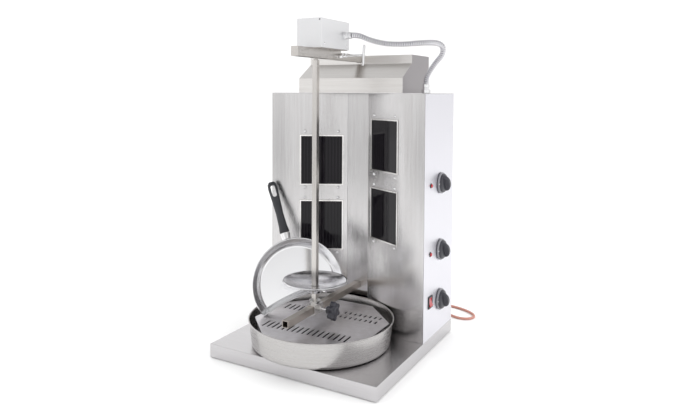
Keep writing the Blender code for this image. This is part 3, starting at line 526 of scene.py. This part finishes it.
for i, z in enumerate(LAMP_HEIGHTS):
    seat = Matrix.Translation((SIDE_FACE_X, LAMP_Y, z)) @ X_AXIS
    collar = [(0, -15.8), (3.9, -15.8), (3.9, 0), (6.0, 0), (6.0, 0.8), (5.5, 1.3), (4.8, 1.4), (0, 1.4)]
    piece(f"lamp_collar_{i + 1}", turned(collar, seat, 40), plastic, "root", f"lamp_{i + 1}",
          slot="black_plastic")
    lens = [(0, 1.3), (4.6, 1.3), (4.6, 2.0), (4.3, 3.0), (3.4, 3.7), (1.8, 4.1), (0, 4.2)]
    piece(f"lamp_lens_{i + 1}", turned(lens, seat, 40), red, "root", slot="red_lens")
piece("switch_case", copied("switch_housing", 0.5, 3), plastic, "root", "switch_housing",
      slot="black_plastic")
piece("mains_rocker", copied("switch_rocker", 0.5, 3, 20), red, "rocker", "switch_rocker", slot="red_lens")
piece("terminal_strip", copied("terminal_block", 0.6, 2), ceramic, "root", "terminal_block",
      slot="heater_ceramic")

# Upper arm and motor carriage. A post welded inside the hood holds a square beam; an inverted
# channel slides on it with the geared motor under a pale folded cover.
piece("arm_beam", copied("upper_arm", 0.8, 3), steel_deep, "root", "upper_arm", slot="brushed_stainless")
piece("carriage_channel", copied("upper_channel", 0.6, 3), steel_deep, "top_carriage", "upper_channel",
      slot="brushed_stainless")
casting = Finish("motor_casting", (0.07, 0.07, 0.075), 0.5, 0.6)
casting.feed("Roughness", 0.4 + casting.noise(casting.place(), 260.0, 3.0) * 0.25)
casting.bump(casting.noise(casting.place(), 500.0, 3.0), 0.0005, 0.5)
piece("gearbox", copied("gear_motor", 1.2, 2), casting, "top_carriage", "gear_motor", slot="motor_casting")
cover = Finish("pale_satin_cover", (0.74, 0.74, 0.75), 0.5, 0.75)
veil = cover.noise(cover.place(), 300.0, 3.0)
cover.feed("Roughness", 0.44 + veil * 0.12)
cover_shade = cover.noise(cover.place(), 12.0)
cover.feed("Base Color", cover.blend(cover_shade, (0.71, 0.71, 0.72), (0.77, 0.77, 0.78)))
cover.bump(veil, 0.0001, 0.2)
rivet = turned([(0, 0), (1.6, 0), (1.6, 0.35), (1.2, 0.5), (0, 0.5)],
               Matrix.Translation((29.5, 85.9, 798)) @ Matrix.Rotation(math.radians(90), 4, "X"), 16)
piece("cover_rivet", rivet, plastic, "top_carriage", slot="black_plastic")
piece("motor_case", copied("motor_cover", 0.9, 3), cover, "top_carriage", "motor_cover", slot="satin_cover")
heads = []
for x, facing_out in ((-32, X_AXIS.inverted()), (34, X_AXIS)):
    for y in (100, 203):
        heads.append(dome_screw(Matrix.Translation((x, y, 745)) @ facing_out, 2.6, 1.8))
piece("cover_screws", gathered(*heads), chrome, "top_carriage", slot="brushed_stainless")

# Drive socket and channel clamp. The turned socket takes the spit's tongue; a hexagon-shouldered
# screw with a welded T-bar locks the channel on its beam.
turned_steel = brushed("turned_stainless", (0.64, 0.63, 0.62), (700, 700, 700), 0.22, 0.00002)
piece("spit_socket", copied("drive_socket", 0.3, 2), turned_steel, "drive", "drive_socket",
      slot="brushed_stainless")
CLAMP = Vector((0, 214.0, 722.5))
clamp_seat = Matrix.Translation(CLAMP) @ X_AXIS
screw = turned([(0, 7.6), (2.6, 7.6), (2.9, 8.0), (2.9, 76), (0, 76)], clamp_seat, 28)
collar = turned([(0, 24), (5.2, 24), (5.6, 24.5), (5.6, 27.5), (5.2, 28), (0, 28)], clamp_seat, 32)
hexagon = bmesh.new()
bmesh.ops.create_cone(hexagon, cap_ends=True, segments=6, radius1=6.5, radius2=6.5, depth=8.7)
rounded(hexagon, 0.5)
shoulder_seat = Matrix.Translation(CLAMP + Vector((14.2, 0, 0))) @ X_AXIS
bmesh.ops.transform(hexagon, matrix=shoulder_seat, verts=hexagon.verts)
bar = block((72.6, -3.6, -25.5), (78.0, 3.6, 25.5), 1.6, 4)
bar_seat = Matrix.Translation(CLAMP) @ Matrix.Rotation(math.radians(-8), 4, "X")
bmesh.ops.transform(bar, matrix=bar_seat, verts=bar.verts)
piece("channel_clamp", gathered(screw, collar, hexagon, bar), chrome, "top_clamp", "clamp_screw",
      slot="brushed_stainless")

# Spit. A 12 mm square bar with a milled tongue and a turned pin, and a spun aluminium plate whose
# hub is locked on it with a small thumbscrew.
spit_steel = brushed("spit_stainless", (0.62, 0.60, 0.58), (1300, 1300, 12), 0.27)
piece("spit_rod", copied("spit_bar", 0.7, 3), spit_steel, "spit", "spit_bar", slot="brushed_stainless")
spun = Finish("polished_aluminium", (0.76, 0.755, 0.775), 0.16, 1.0)
spun_grain = spun.noise(spun.place((260, 260, 260)), 1.0, 4.0)
smudge = spun.noise(spun.place(), 6.0, 1.0)
spun.feed("Roughness", 0.12 + spun_grain * 0.05 + smudge * 0.04)
spun.feed("Base Color", spun.blend(smudge, (0.73, 0.725, 0.745), (0.79, 0.785, 0.80)))
RIM = 192.0
dish = [(9.3, RIM - 15.2), (20, RIM - 14.5), (34, RIM - 12.9), (45, RIM - 11), (56, RIM - 8.2),
        (64, RIM - 5.4), (69.5, RIM - 3.0), (72.4, RIM - 1.2), (73.8, RIM - 0.3), (75.0, RIM),
        (76.0, RIM - 0.5), (76.5, RIM - 1.7), (76.1, RIM - 2.9), (75.0, RIM - 3.5), (73.8, RIM - 3.2),
        (70.5, RIM - 4.6), (64.5, RIM - 7.3), (56, RIM - 10.1), (45, RIM - 13), (34, RIM - 14.9),
        (22, RIM - 16.4), (18.2, RIM - 17), (17.2, RIM - 18), (17, RIM - 28.6), (16.2, RIM - 29.8),
        (9.3, RIM - 30)]
plate = turned(dish + [dish[0]], Matrix.Translation((0, 118, 0)), 128)
piece("meat_plate", plate, spun, "spit", "spit_plate", slot="polished_aluminium")
knurled = [(0, 0), (2.2, 0), (2.2, 9), (3.6, 9.4), (4.9, 10), (5, 14.2), (4.4, 15), (0, 15)]
thumbscrew = turned(knurled, Matrix.Translation((15, 118, RIM - 24)) @ X_AXIS, 20)
piece("plate_thumbscrew", thumbscrew, chrome, "spit", "plate_screw", slot="polished_aluminium")

# Lower arm and carriage. An open square tube runs out of the cabinet; a folded saddle on it
# carries the spit's bearing and is locked by a star knob.
tube_steel = brushed("bronzed_stainless", (0.50, 0.46, 0.42), (1400, 14, 1400), 0.3)
piece("arm_tube", copied("lower_arm", 0.5, 3), tube_steel, "root", "lower_arm", slot="brushed_stainless")
piece("bearing_saddle", copied("lower_carriage", 0.5, 2), turned_steel, "bottom_carriage", "lower_carriage",
      slot="brushed_stainless")
STAR = Matrix.Translation((0, 118, 125)) @ X_AXIS
LOBES = 6
LOBE_REACH = 22.3
LOBE_DEPTH = 6.6
star = bmesh.new()
bmesh.ops.create_circle(star, cap_ends=True, segments=84, radius=1.0)
for vert in star.verts:
    angle = math.atan2(vert.co.y, vert.co.x)
    radius = LOBE_REACH - LOBE_DEPTH * (0.5 - 0.5 * math.cos(LOBES * angle)) ** 1.2
    vert.co = Vector((radius * math.cos(angle), radius * math.sin(angle), 43.2))
top = bmesh.ops.extrude_face_region(star, geom=star.faces[:])
lifted = [part for part in top["geom"] if isinstance(part, bmesh.types.BMVert)]
bmesh.ops.translate(star, vec=(0, 0, 13.6), verts=lifted)
rounded(star, 2.2, 4, 60)
bmesh.ops.transform(star, matrix=STAR, verts=star.verts)
boss = turned([(0, 34), (8.6, 34), (9.2, 34.8), (11, 43.8), (0, 43.8)], STAR, 40)
cap = turned([(0, 56), (12.2, 56), (11.8, 57.6), (9.5, 58.8), (4, 59.4), (0, 59.5)], STAR, 40)
piece("star_grip", gathered(star, boss, cap), slate, "bottom_clamp", "star_knob", slot="black_plastic",
      sharp=50)
stud = turned([(0, 8.7), (2.6, 8.7), (2.9, 9.2), (2.9, 36), (0, 36)], STAR, 24)
piece("star_stud", stud, chrome, "bottom_clamp", slot="brushed_stainless")

# Conduit. Strip-wound steel hose from the motor cover to the lid, clamped in a hexagon fitting
# at each end.
wound = brushed("wound_strip", (0.72, 0.72, 0.75), (500, 500, 500), 0.24, 0.00002)
hose_route = [(56.7, 190, 769), (78, 191, 766.5), (102, 199, 756.5), (134, 211, 748.5), (165, 229, 747),
              (191, 249, 749.5), (214, 272, 752), (231, 296, 751.5), (238.5, 312, 743), (233, 322, 725),
              (215, 327, 706), (199, 329.5, 685), (190.8, 330, 668), (190, 330, 655.4)]
path = smooth_route(hose_route, 24, (1, 0, 0), (0, 0, -1))
PITCH = 5.4
RIBS = ((0.0, 4.6), (0.34, 4.6), (0.42, 6.6), (0.52, 7.0), (0.8, 7.0), (0.92, 6.6))  # share of a turn, radius
stations = [0.0]
for a, b in zip(path, path[1:]):
    stations.append(stations[-1] + (b - a).length)


def on_hose(distance):
    i = max(k for k in range(len(stations) - 1) if stations[k] <= distance + 1e-9)
    t = (distance - stations[i]) / (stations[i + 1] - stations[i])
    return path[i].lerp(path[i + 1], t), (path[i + 1] - path[i]).normalized()


hose = bmesh.new()
ring = bmesh.ops.create_circle(hose, cap_ends=True, segments=20, radius=1.0)["verts"]
turns = int(stations[-1] / PITCH)
rows = [((k + share) * stations[-1] / turns, radius) for k in range(turns) for share, radius in RIBS]
rows.append((stations[-1] - 0.01, 6.15))
last_direction = Vector((0, 0, 1))
edges = hose.edges[:]
turn_so_far = Matrix()
for row, (distance, radius) in enumerate(rows):
    spot, direction = on_hose(distance)
    turn_so_far = last_direction.rotation_difference(direction).to_matrix().to_4x4() @ turn_so_far
    last_direction = direction
    if row:
        grown = bmesh.ops.extrude_edge_only(hose, edges=edges)["geom"]
        ring = [g for g in grown if isinstance(g, bmesh.types.BMVert)]
        edges = [g for g in grown if isinstance(g, bmesh.types.BMEdge)]
        # Painted shade: the faces at the bottom of each groove take the dark second material.
        for face in [g for g in grown if isinstance(g, bmesh.types.BMFace)]:
            face.material_index = int((row - 1) % len(RIBS) == 0)
        bmesh.ops.transform(hose, matrix=ring_place.inverted(), verts=ring)
    ring_place = Matrix.Translation(spot) @ turn_so_far @ Matrix.Diagonal((radius, radius, 1, 1))
    bmesh.ops.transform(hose, matrix=ring_place, verts=ring)
bmesh.ops.holes_fill(hose, edges=hose.edges, sides=0)
bmesh.ops.recalc_face_normals(hose, faces=hose.faces)
bmesh.ops.transform(hose, matrix=TO_ROW, verts=hose.verts)
hose_mesh = bpy.data.meshes.new("conduit_hose")
hose.to_mesh(hose_mesh)
hose.free()
hose_mesh.shade_smooth()
hose_mesh.materials.append(wound.material)
# Painted shade in the grooves: a dark steel colour for the faces at the bottom of each turn's groove.
groove_painted_shade = Finish("wound_strip_groove_painted_shade", (0.20, 0.20, 0.22), 0.5, 0.9)
groove_painted_shade.feed("Roughness", 0.45 + groove_painted_shade.noise(groove_painted_shade.place(), 400.0) * 0.15)
hose_mesh.materials.append(groove_painted_shade.material)
conduit_hose = bpy.data.objects.new("conduit_hose", hose_mesh)
bpy.context.scene.collection.objects.link(conduit_hose)
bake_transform(conduit_hose)
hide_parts("conduit")


def hex_fitting(matrix, radius, nut_length, sleeve_radius, sleeve_length, stub_radius):
    """Hexagon nut, crimped sleeve with one groove, and the stub behind the sheet."""
    nut = bmesh.new()
    bmesh.ops.create_cone(nut, cap_ends=True, segments=6, radius1=radius, radius2=radius, depth=nut_length)
    rounded(nut, 0.7, 2)
    bmesh.ops.translate(nut, vec=(0, 0, nut_length / 2), verts=nut.verts)
    wide = sleeve_radius
    narrow = sleeve_radius - 0.8
    end = nut_length + sleeve_length
    sleeve = turned([(0, nut_length - 1), (wide, nut_length - 1), (wide, nut_length + 3),
                     (narrow, nut_length + 3.6), (narrow, nut_length + 5), (wide, nut_length + 5.6),
                     (wide, end - 1), (narrow, end), (0, end)], Matrix(), 40)
    stub = turned([(0, -9.5), (stub_radius, -9.5), (stub_radius, 1), (0, 1)], Matrix(), 32)
    whole = gathered(nut, sleeve, stub)
    bmesh.ops.transform(whole, matrix=matrix, verts=whole.verts)
    return whole


motor_fitting = hex_fitting(Matrix.Translation((34.3, 190, 769)) @ X_AXIS, 10, 8, 8.2, 13.8, 6.9)
piece("hose_fitting_motor", motor_fitting, chrome, "top_carriage", "conduit_fitting_motor",
      slot="brushed_stainless")
lid_fitting = hex_fitting(Matrix.Translation((190, 330, 632.3)), 11.4, 8.7, 8.6, 14, 7.9)
piece("hose_fitting_lid", lid_fitting, chrome, "root", "conduit_fitting_base", slot="brushed_stainless")

# Drip tray and grid. The tray is spun from stainless, brushed round its wall, with a rolled rim;
# the eight-sided grid is a punched plate on four bent legs.
tray_steel = brushed("tray_stainless", (0.54, 0.53, 0.525), (26, 26, 1500), 0.27)
TRAY_MIDDLE = (-0.013, -0.08235, 0.0)  # in the row's metres
from_middle = tray_steel.node("ShaderNodeVectorMath", {"operation": "DISTANCE"},
                              {0: tray_steel.place((1, 1, 0)), 1: TRAY_MIDDLE}, out="Value")
wall_colour = tray_steel.colour_so_far()
# Painted shade: the tray's floor, inside the wall, is coloured near-black for the shade under the grid and
# pan.
tray_floor_painted_shade = tray_steel.step(from_middle, 0.164, 0.158)
tray_steel.feed("Base Color", tray_steel.blend(tray_floor_painted_shade, wall_colour, (0.10, 0.095, 0.10)))
FLOOR = 34.3
wall = [(0, FLOOR), (157, FLOOR), (160.5, FLOOR + 0.6), (163.4, FLOOR + 2.4), (165.4, FLOOR + 5),
        (166.4, FLOOR + 8.5), (172.5, 94.4), (173.6, 94.2), (174.5, 94.9), (174.6, 96.0),
        (174.1, 96.8), (173.0, 97.0), (171.7, 96.4), (171.0, 94.6),
        (165.0, FLOOR + 9), (163.6, FLOOR + 5.2), (161.4, FLOOR + 3.0),
        (159, FLOOR + 1.8), (156, FLOOR + 1.5), (0, FLOOR + 1.5)]
piece("fat_tray", turned(wall, Matrix.Translation((0, 147, 0)), 160), tray_steel, "tray", "drip_tray",
      slot="brushed_stainless", sharp=50)
grid_steel = brushed("grid_stainless", (0.88, 0.865, 0.89), (60, 60, 60), 0.42, 0.00002)
piece("slotted_grid", copied("tray_grid", 0.25, 1), grid_steel, "tray", "tray_grid", slot="brushed_stainless")

# Catch pan. Pressed aluminium in a crescent, polished, with a rolled rim; a plated ferrule and a
# black phenolic handle are riveted opposite its hollow side.
PAN_TURN = math.radians(35.4)
PAN_LEAN = math.radians(19)
facing = Vector((math.sin(PAN_TURN) * math.cos(PAN_LEAN), -math.cos(PAN_TURN) * math.cos(PAN_LEAN),
                 math.sin(PAN_LEAN)))
rightwards = Vector((math.cos(PAN_TURN), math.sin(PAN_TURN), 0))
leaning = Matrix((rightwards, facing.cross(rightwards), facing)).transposed().to_4x4()
PAN = Matrix.Translation((-77.5, 163.5, 157.3)) @ leaning @ Matrix.Rotation(math.radians(14.1), 4, "Z")
HOLLOW = 450.0
SKEW = Matrix.Rotation(math.radians(5.5), 3, "Z")
ROUND_STEPS = 96
HOLLOW_STEPS = 32


def crescent(radius, bite, depth):
    """One outline of the pan: a circle less a shallow arc on the side away from the handle."""
    reach = bite + HOLLOW
    low = -(radius ** 2 + reach ** 2 - HOLLOW ** 2) / (2 * reach)
    half = math.sqrt(radius ** 2 - low ** 2)
    start = math.atan2(low, half)
    ring = []
    for i in range(ROUND_STEPS + 1):
        angle = start + (math.pi - 2 * start) * i / ROUND_STEPS
        ring.append(Vector((radius * math.cos(angle), radius * math.sin(angle), -depth)))
    for i in range(1, HOLLOW_STEPS):
        across = -half + 2 * half * i / HOLLOW_STEPS
        ring.append(Vector((across, -reach + math.sqrt(HOLLOW ** 2 - across ** 2), -depth)))
    return [SKEW @ point for point in ring]


# Rows of the pan's inner and outer face: radius, depth of the hollow side, depth below the rim.
stages = [(112.0, 29.2, 2.6), (113.2, 30.4, 2.2), (113.6, 30.8, 1.0), (113.2, 30.4, -0.2),
          (112.2, 29.4, -0.7), (111.0, 28.2, -0.2), (110.4, 27.6, 1.6), (108.2, 25.8, 7),
          (104.6, 23.4, 16), (101.2, 21.1, 25),
          (100.1, 20.3, 28.4), (98.6, 19.4, 31), (96.0, 17.8, 32.8), (92.6, 16.0, 33.4)]
back = [(92.6, 16.0, 35.0), (96.6, 18.4, 34.4), (99.9, 20.5, 32.1), (101.7, 21.6, 28.8), (102.8, 22.5, 25),
        (106.2, 24.8, 16), (109.8, 27.2, 7)]
shell = bmesh.new()
loops = [[shell.verts.new(p) for p in crescent(*stage)] for stage in stages]
under = [[shell.verts.new(p) for p in crescent(*stage)] for stage in reversed(back)]


def ring_edges(bm, ring):
    return [bm.edges.get((a, b)) or bm.edges.new((a, b)) for a, b in zip(ring, ring[1:] + ring[:1])]


for first, second in [*zip(loops, loops[1:]), *zip([loops[0], *under], under)]:
    bmesh.ops.bridge_loops(shell, edges=ring_edges(shell, first) + ring_edges(shell, second))
shell.faces.new(loops[-1])
shell.faces.new(under[-1])
bmesh.ops.transform(shell, matrix=PAN, verts=shell.verts)
mirror_aluminium = Finish("pan_aluminium", (0.84, 0.84, 0.85), 0.1, 1.0)
rubbed = mirror_aluminium.noise(mirror_aluminium.place(), 11.0, 3.0)
mirror_aluminium.feed("Roughness", 0.09 + rubbed * 0.12)
rubbed_colour = mirror_aluminium.blend(rubbed, (0.82, 0.82, 0.84), (0.87, 0.87, 0.875))
mirror_aluminium.feed("Base Color", rubbed_colour)
piece("crescent_pan", shell, mirror_aluminium, "pan", "catch_pan", slot="polished_aluminium")
piece("handle_ferrule", copied("pan_ferrule", 0.8, 3, 60), chrome, "pan", "pan_ferrule",
      slot="polished_aluminium")
piece("handle_grip", copied("pan_handle", 0.8, 3, 50), plastic, "pan", "pan_handle", slot="black_plastic",
      sharp=55)

# Studio. A white table top, an even white surround with dimmer patches for the steel to mirror, and
# three soft lights, one of them overhead, that the metal itself doesn't mirror.
ground = bmesh.new()
bmesh.ops.create_grid(ground, x_segments=1, y_segments=1, size=1.0)
spread = Matrix.Translation((-1.0, 4.3, 0)) @ Matrix.Diagonal((6, 6.2, 1, 1))
bmesh.ops.transform(ground, matrix=spread, verts=ground.verts)
table = bpy.data.meshes.new("table_top")
ground.to_mesh(table)
ground.free()
white = Finish("white_table", (0.96, 0.96, 0.96), 0.9)
white.feed("Roughness", 0.85 + white.noise(white.place(), 3.0) * 0.1)
table.materials.append(white.material)
table_top = bpy.data.objects.new("table_top", table)
bpy.context.scene.collection.objects.link(table_top)

scene = bpy.context.scene
scene.view_settings.view_transform = "Standard"
world = bpy.data.worlds.new("studio")
scene.world = world
world.use_nodes = True
surround = Graph(world.node_tree)
ray = surround.node("ShaderNodeTexCoord", out="Generated")
across, inwards, upwards = [surround.node("ShaderNodeSeparateXYZ", None, {0: ray}, out=i) for i in range(3)]


def patch(direction, sharpness):
    """One where a ray points along `direction`, and less as it points away from it."""
    cosine = surround.node("ShaderNodeVectorMath", {"operation": "DOT_PRODUCT"},
                           {0: ray, 1: Vector(direction).normalized()}, out="Value")
    return surround.node("ShaderNodeMath", {"operation": "MAXIMUM"}, {0: cosine, 1: 0.0}) ** sharpness


front = surround.step(inwards, 0.1, -0.6)
glow = (1.1 + front * surround.step(upwards, -0.03, 0.05) * surround.step(upwards, 0.4, 0.15) * 0.25
        - front * surround.step(upwards, -0.45, -0.14) * surround.step(upwards, 0.06, -0.08) * 0.22
        - patch((-0.36, -0.93, -0.12), 40.0) * 0.3 - patch((0.0, -0.2, 1.0), 3.0) * 0.8
        - patch((0.5, 0.87, 0.1), 20.0) * 0.25 - patch((0.466, -0.754, 0.482), 350.0) * 0.6)
world.node_tree.links.new(glow.socket, world.node_tree.nodes["Background"].inputs["Strength"])
world.node_tree.nodes["Background"].inputs["Color"].default_value = (1.0, 1.0, 1.0, 1.0)


def studio_light(name, kind, place, power, **settings):
    """A lamp aimed at the grill's middle."""
    lamp = bpy.data.lights.new(name, kind)
    lamp.energy = power
    for setting, value in settings.items():
        setattr(lamp, setting, value)
    made = bpy.data.objects.new(name, lamp)
    bpy.context.scene.collection.objects.link(made)
    made.location = place
    made.rotation_euler = (Vector((0, 0, 0.3)) - Vector(place)).to_track_quat("-Z", "Y").to_euler()
    made.visible_glossy = False


studio_light("overhead", "SUN", (0.1, -0.2, 2.6), 1.5, angle=math.radians(120))
studio_light("front_right", "AREA", (1.9, -1.6, 1.3), 6, shape="SQUARE", size=1.2)
studio_light("right_side", "AREA", (2.2, 0.8, 1.0), 6, shape="SQUARE", size=1.4)
